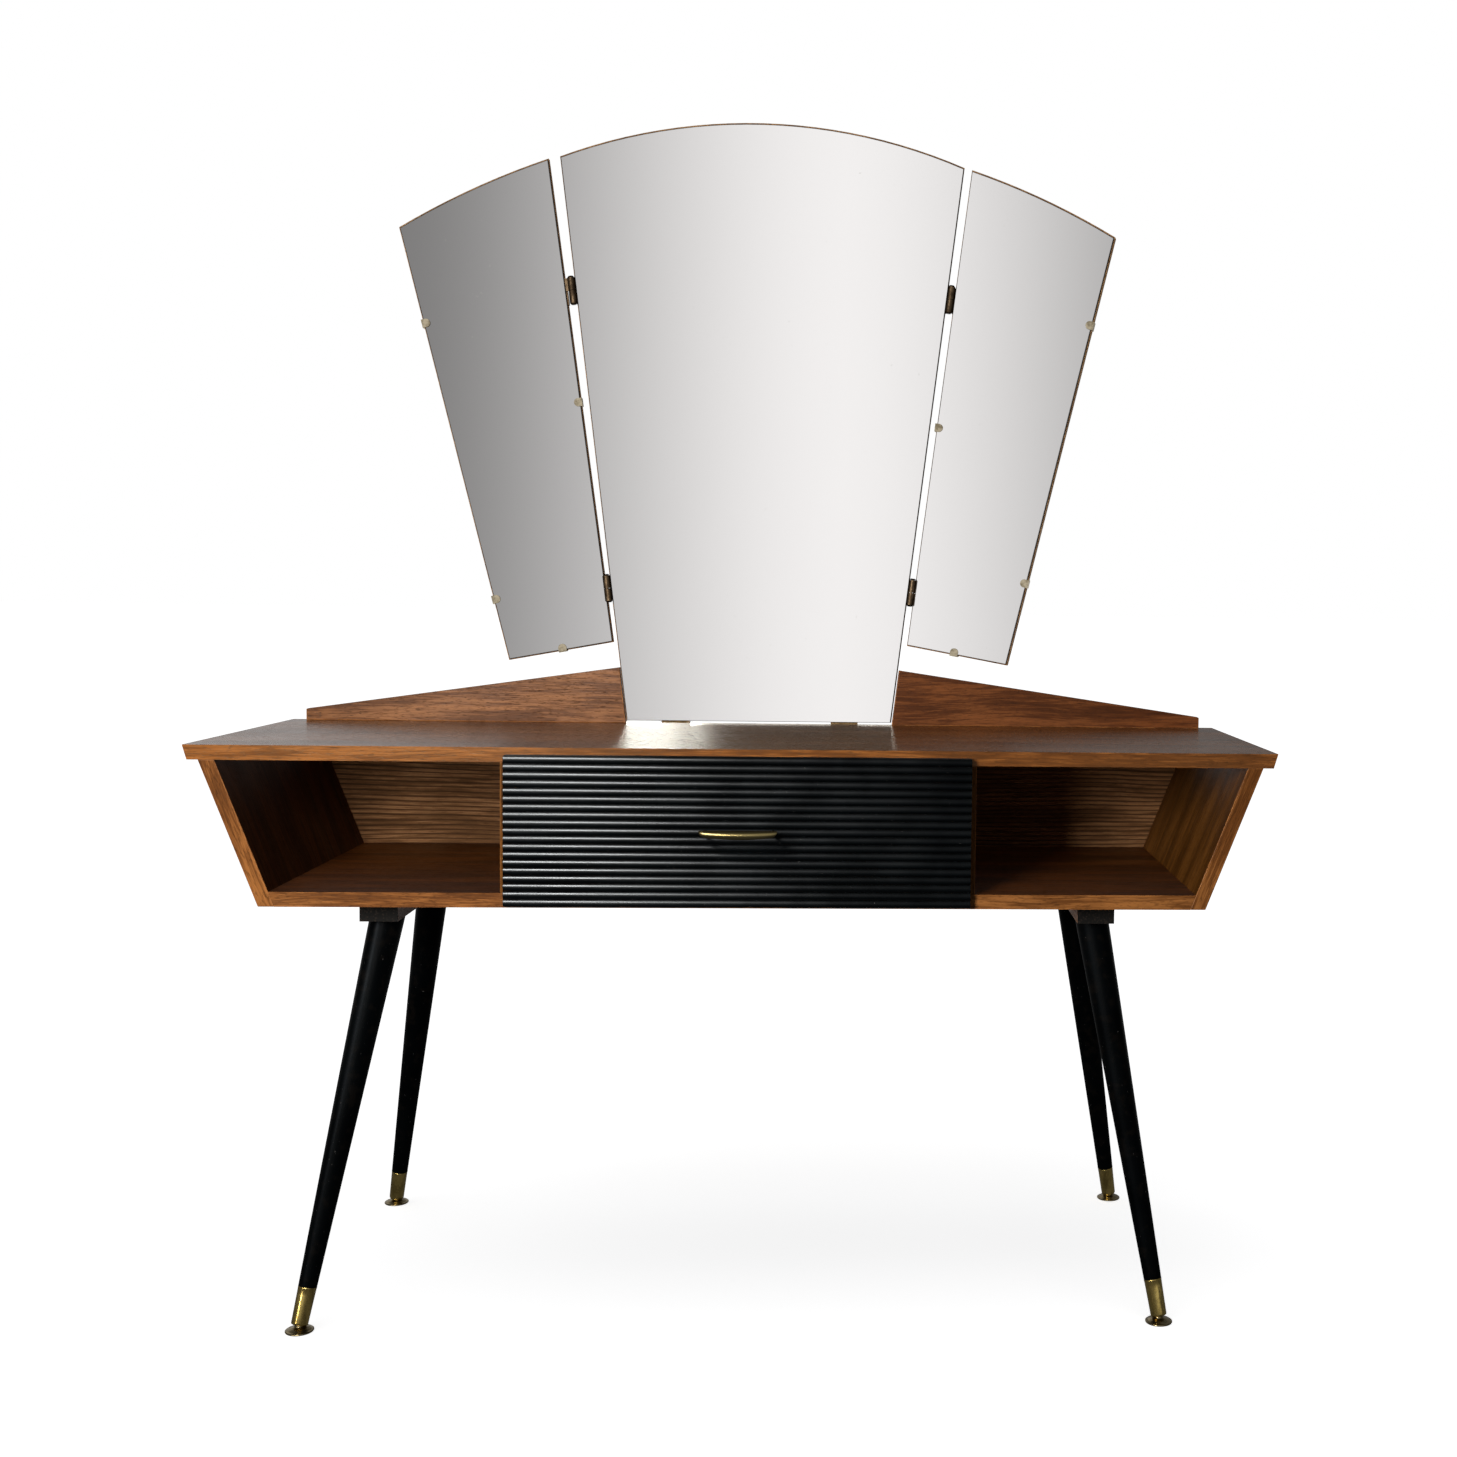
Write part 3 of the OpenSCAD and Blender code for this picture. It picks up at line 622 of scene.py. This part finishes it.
def make_glass(node):
    """The glass as its own mesh: silvered front, ground edges, painted back."""
    bm = bmesh.new()
    bm.from_mesh(NODES[node].data)
    bmesh.ops.remove_doubles(bm, verts=bm.verts, dist=0.00001)
    flat = [e for e in bm.edges if len(e.link_faces) == 2
            and e.link_faces[0].normal.angle(e.link_faces[1].normal, 0) < math.radians(0.1)]
    bmesh.ops.dissolve_edges(bm, edges=flat, use_verts=False)
    bm.normal_update()
    rim = [e for e in bm.edges if len(e.link_faces) == 2 and e.calc_face_angle(0) > math.radians(60)]
    bmesh.ops.bevel(bm, geom=rim, offset=GLASS_BEVEL, segments=2, affect="EDGES", profile=0.6)
    bm.normal_update()
    face_way = max(bm.faces, key=lambda f: f.calc_area() if f.normal.y < 0 else 0).normal.copy()
    for face in bm.faces:
        facing = face.normal.dot(face_way)
        face.material_index = 0 if facing > 0.999 else 2 if facing < -0.999 else 1
    bm.faces.index_update()
    flat_faces = [face.index for face in bm.faces if face.material_index != 1]
    mesh = closed_mesh(node + "_sheet", bm, 30)
    for index in flat_faces:
        mesh.polygons[index].use_smooth = False
    return put(node + "_sheet", mesh, ["mirror", "glass_edge", "glass_back"], node)


def finish_legs():
    feet = []
    for end in ("front", "back"):
        for side in SIDES:
            node = NODES[f"{end}_{side}_leg"]
            node.data.materials.clear()
            node.data.materials.append(MATERIALS["leg"])
            feet += [make_ferrule(end, side), make_glide(end, side)]
    return feet


# ---------------------------------------------------------------- light

def make_world():
    """White to the camera, dim to the wood, and a bright room with a dark side in the gloss."""
    world = bpy.data.worlds.new("studio")
    bpy.context.scene.world = world
    world.use_nodes = True
    g = Graph(world.node_tree)
    background = world.node_tree.nodes["Background"]
    way = g.parts(g.add("TexCoord", out="Generated"))
    rays = g.add("LightPath").node.outputs
    front = g.remap(g.math("MULTIPLY", way[1], -1.0), 0.60, 0.86)
    behind = g.remap(way[1], 0.40, 0.85)
    left = g.remap(way[0], 0.30, -0.45)
    room = g.mix(left, (0.20, 0.20, 0.20), (0.75, 0.75, 0.75))
    gloss = g.mix(front, g.mix(behind, (0.15, 0.15, 0.15), room), (1.0, 1.0, 1.0))
    ambient = g.mix(g.remap(way[2], -0.2, 0.9), (0.035, 0.035, 0.037), (0.060, 0.062, 0.066))
    seen = g.mix(rays["Is Glossy Ray"], ambient, gloss)
    g.feed(background.inputs["Color"], g.mix(rays["Is Camera Ray"], seen, (1.0, 1.0, 1.0)))


def make_floor():
    """A plain pale floor with its own soft sun and a glow. Gloss shows it darker close by than far off, and
    it throws little light back up."""
    bpy.ops.mesh.primitive_plane_add(size=120)
    floor = bpy.context.object
    floor.name = "floor"
    material = bpy.data.materials.new("pale_floor")
    material.use_nodes = True
    g = Graph(material.node_tree)
    output = material.node_tree.nodes["Material Output"]
    rays = g.add("LightPath").node.outputs
    shown = g.add("AddShader", {0: g.add("BsdfDiffuse", {"Color": (0.9, 0.9, 0.9)}),
                                1: g.add("Emission", {"Color": (1, 1, 1), "Strength": 0.80})})
    hidden = g.add("BsdfDiffuse", {"Color": (0.08, 0.08, 0.08)})
    glow = g.remap(rays["Ray Length"], 0.5, 3.2, 0.14, 1.0)
    mirrored = g.add("Emission", {"Color": (1, 1, 1), "Strength": glow})
    bounced = g.add("MixShader", {0: rays["Is Glossy Ray"], 1: hidden, 2: mirrored})
    g.feed(output.inputs["Surface"], g.add("MixShader", {0: rays["Is Camera Ray"], 1: bounced, 2: shown}))
    floor.data.materials.append(material)
    return floor


def group(name, pieces, state="INCLUDE"):
    held = bpy.data.collections.new(name)
    for piece in pieces:
        held.objects.link(piece)
    for entry in held.collection_objects:
        entry.light_linking.link_state = state
    return held


def area_light(name, place, target, size, power, colour=(1, 1, 1), gloss=True, diffuse=True):
    data = bpy.data.lights.new(name, "AREA")
    data.shape = "RECTANGLE"
    data.size, data.size_y = size
    data.energy = power
    data.color = colour
    light = bpy.data.objects.new(name, data)
    bpy.context.scene.collection.objects.link(light)
    light.location = place
    light.rotation_mode = "QUATERNION"
    light.rotation_quaternion = (Vector(target) - Vector(place)).to_track_quat("-Z", "Y")
    light.visible_camera = False
    light.visible_glossy = gloss
    light.visible_diffuse = diffuse
    return light


def make_lights(floor, mirrors, front, handle, legs, feet):
    clips = [NODES[f"{side}_wing_clips"] for side in SIDES]
    window = area_light("window", (-0.72, -2.05, 1.10), (0.0, 0.0, 0.62), (0.55, 0.75), 42,
                        (1.0, 0.985, 0.96))
    window.light_linking.receiver_collection = group("not_by_window", [floor, *mirrors, *clips], "EXCLUDE")

    sun_data = bpy.data.lights.new("floor_light", "SUN")
    sun_data.energy = 1.0
    sun_data.angle = math.radians(70)
    sun = bpy.data.objects.new("floor_light", sun_data)
    bpy.context.scene.collection.objects.link(sun)
    sun.rotation_euler = (math.radians(12), math.radians(-14), 0)
    sun.light_linking.receiver_collection = group("floor_only", [floor])

    linked_gloss("rib_gloss", [front], (-0.85, -1.0, 1.55), (0, -0.2, 0.57), (0.8, 0.35), 740,
                 (0.98, 1.0, 1.0))
    linked_gloss("leg_gloss", legs, (-1.6, -1.6, 1.2), (0, 0, 0.3), (0.3, 1.2), 150, (0.85, 0.93, 1.0))
    linked_gloss("foot_gloss", feet, (-1.75, -1.75, 0.35), (0, 0, 0.05), (0.12, 0.9), 14, (1.0, 0.93, 0.80))
    linked_gloss("handle_gloss", [handle], (-0.34, -2.0, 0.64), (0, -0.2, 0.57), (0.14, 0.20), 7.0,
                 (1.0, 0.95, 0.85))

    # two lights behind the mirror stand in for what the tabletop would show of it: only the backsplashes
    # block them
    top = [NODES["tabletop"]]
    for light in (
        linked_gloss("window_in_mirror", top, (-0.39, 2.20, 0.85), (-0.13, 0, 0.67), (0.22, 0.13), 9.5,
                     (1, 0.98, 0.88)),
        linked_gloss("room_in_mirror", top, (0.0, 1.60, 0.84), (0, 0, 0.67), (0.60, 0.10), 0.5,
                     (1, 0.94, 0.80)),
    ):
        light.light_linking.blocker_collection = group(
            light.name + "_block", [NODES["left_backsplash"], NODES["right_backsplash"]])

    for name, x in (("fill_left", -2.6), ("fill_right", 2.6)):
        fill = area_light(name, (x, 2.4, 1.7), (0, 0.1, 0.7), (1.6, 1.6), 26, gloss=False)
        fill.light_linking.receiver_collection = group(name + "_skips", [floor, *mirrors], "EXCLUDE")


def linked_gloss(name, receivers, place, target, size, power, colour):
    """A light that only makes a highlight, and only on the pieces it is meant for."""
    light = area_light(name, place, target, size, power, colour, diffuse=False)
    light.light_linking.receiver_collection = group(name + "_on", receivers)
    return light


def keep_out_of_reflections(pieces):
    """The mirrors show an even bright room, so these pieces are left out of every reflection."""
    for piece in pieces:
        piece.visible_glossy = False


# ---------------------------------------------------------------- the scene

MATERIALS = make_materials()
make_camera()
finish_case()
finish_mirror_boards()
finish_metal()
feet = finish_legs()
ribbed = make_drawer_front()
handle = make_handle()
glasses = [make_glass(n) for n in ("centre_mirror_glass", "left_wing_glass", "right_wing_glass")]
make_world()
legs = [NODES[f"{end}_{side}_leg"] for end in ("front", "back") for side in SIDES]
make_lights(make_floor(), glasses, ribbed, handle, legs, feet)
keep_out_of_reflections([*glasses, ribbed, NODES["tabletop"]])
bpy.context.scene.view_settings.view_transform = "Standard"
